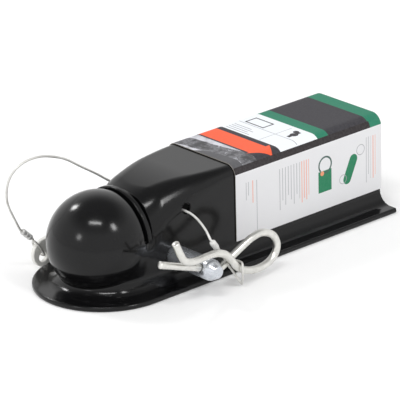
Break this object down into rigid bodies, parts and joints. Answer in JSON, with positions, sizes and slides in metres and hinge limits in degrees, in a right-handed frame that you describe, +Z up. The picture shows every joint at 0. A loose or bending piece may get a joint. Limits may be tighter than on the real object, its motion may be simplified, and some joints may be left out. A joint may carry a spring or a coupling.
{
  "type": "trailer coupler",
  "caption": "Pressed-steel trailer tongue coupler with a ball socket, a hinged ball clamp, a cross pin with spring clip on a cable lanyard, and a folded card sleeve over its tongue.",
  "frame": {"origin": "centre of the ball socket's mouth, in the plane the rim stands on", "axes": "+X runs back along the tongue to its tail, +Z is up from the rim's underside, and the clip is on the -Y side"},
  "size_m": [0.238, 0.1141, 0.0721],
  "materials": {
    "black_paint": "gloss black paint",
    "bright_zinc": "bright zinc plate",
    "wire_rope": "fine stranded wire rope",
    "crimped_sleeve": "satin",
    "printed_card": "smooth coated board, printed"
  },
  "bodies": {
    "housing": {"coupler_body": "black_paint", "lanyard_cable": "wire_rope"},
    "ball_clamp": {"ball_clamp": "black_paint"},
    "lock_pin": {"pin_shank": "bright_zinc", "pin_handle": "bright_zinc", "pin_cable_loop": "wire_rope", "pin_ferrule": "crimped_sleeve"},
    "clip": {"spring_clip": "bright_zinc", "clip_cable_loop": "wire_rope", "clip_ferrule": "crimped_sleeve"},
    "sleeve": {"card_sleeve": "printed_card"}
  },
  "joints": [
    {"name": "clamp_swing", "type": "hinge", "parent": "housing", "child": "ball_clamp", "pos_m": [0.0148, 0, 0.0304], "axis": [0, 1, 0], "range_deg": [0, 6]},
    {"name": "pin_slide", "type": "slide", "parent": "housing", "child": "lock_pin", "axis": [0, 1, 0], "range_m": [0, 0.012]},
    {"name": "clip_pull", "type": "slide", "parent": "lock_pin", "child": "clip", "axis": [0.9432, 0, -0.3322], "range_m": [0, 0.05], "deforming": ["spring_clip"]},
    {"name": "sleeve_lift", "type": "slide", "parent": "housing", "child": "sleeve", "axis": [0, 0, 1], "range_m": [0, 0.07]}
  ]
}
